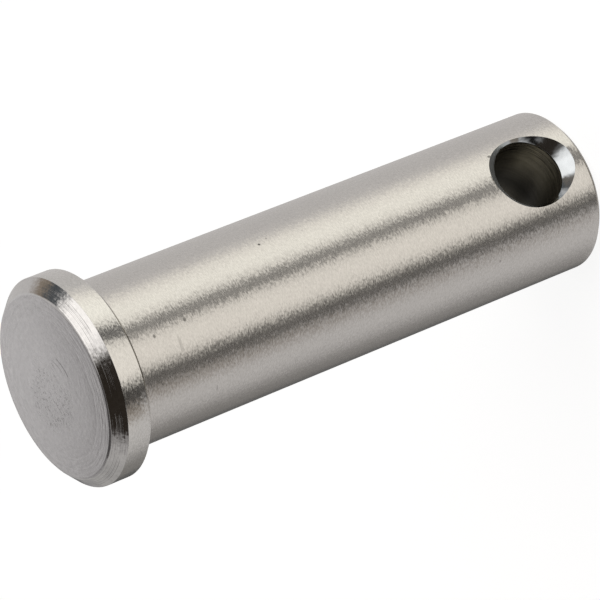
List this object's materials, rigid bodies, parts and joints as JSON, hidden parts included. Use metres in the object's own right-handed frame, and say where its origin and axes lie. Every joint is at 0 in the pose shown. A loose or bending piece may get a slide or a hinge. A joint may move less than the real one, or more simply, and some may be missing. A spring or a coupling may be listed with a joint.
{
  "type": "clevis pin",
  "caption": "Solid steel clevis pin with a small chamfered head and a countersunk cross hole for a split pin near its tip.",
  "frame": {"origin": "centre of the tip's flat end face, on which the pin stands", "axes": "+Z along the pin's axis from the tip to the head; the cross hole runs along Y"},
  "size_m": [0.02, 0.02, 0.0583],
  "materials": {
    "steel": "ground shank, turned head, bright chamfers"
  },
  "bodies": {
    "root": {"clevis_pin": "steel"}
  },
  "joints": []
}
